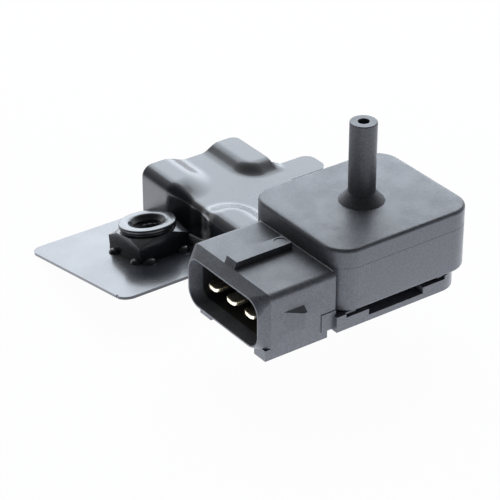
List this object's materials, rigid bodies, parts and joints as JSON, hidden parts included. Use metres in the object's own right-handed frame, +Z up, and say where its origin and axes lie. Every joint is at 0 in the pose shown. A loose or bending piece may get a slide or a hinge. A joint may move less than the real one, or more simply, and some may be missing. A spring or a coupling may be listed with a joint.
{
  "type": "manifold absolute pressure sensor",
  "caption": "Black manifold pressure sensor with upright hose nipple, oval plug socket with flat blades and a stamped slide-in bracket with a square weld nut.",
  "frame": {"origin": "on the hose nipple's axis, in the plane of the clip base's underside", "axes": "+Z up the hose nipple, -Y out of the connector mouth, -X towards the bracket and its weld nut"},
  "size_m": [0.0615, 0.0504, 0.0359],
  "materials": {
    "housing_plastic": "fine grained, glass-filled",
    "cover_plastic": "fine grained, glass-filled",
    "cup_plastic": "matt",
    "chip_plastic": "matt",
    "silicone": "satin",
    "gel": "clear, soft",
    "filter_felt": "porous",
    "board_ceramic": "matt",
    "capacitor_ceramic": "matt",
    "resistor_film": "satin",
    "cell_glass": "clear",
    "silicon": "polished",
    "link_metal": "satin",
    "terminal_metal": "plated, satin",
    "bracket_coat": "gloss electrocoat",
    "nut_coat": "gloss electrocoat"
  },
  "bodies": {
    "root": {"housing": "housing_plastic", "cover": "cover_plastic", "seal_ring": "silicone", "port_filter": "filter_felt", "ceramic_board": "board_ceramic", "board_bond": "silicone", "cell_cup": "cup_plastic", "glass_base": "cell_glass", "silicon_die": "silicon", "gel_fill": "gel", "signal_chip": "chip_plastic", "capacitor_1": "capacitor_ceramic", "capacitor_2": "capacitor_ceramic", "capacitor_3": "capacitor_ceramic", "resistor_1": "resistor_film", "resistor_2": "resistor_film", "board_link_1": "link_metal", "board_link_2": "link_metal", "board_link_3": "link_metal", "terminal_ground": "terminal_metal", "terminal_signal": "terminal_metal", "terminal_supply": "terminal_metal", "bracket": "bracket_coat", "weld_nut": "nut_coat"}
  },
  "joints": []
}
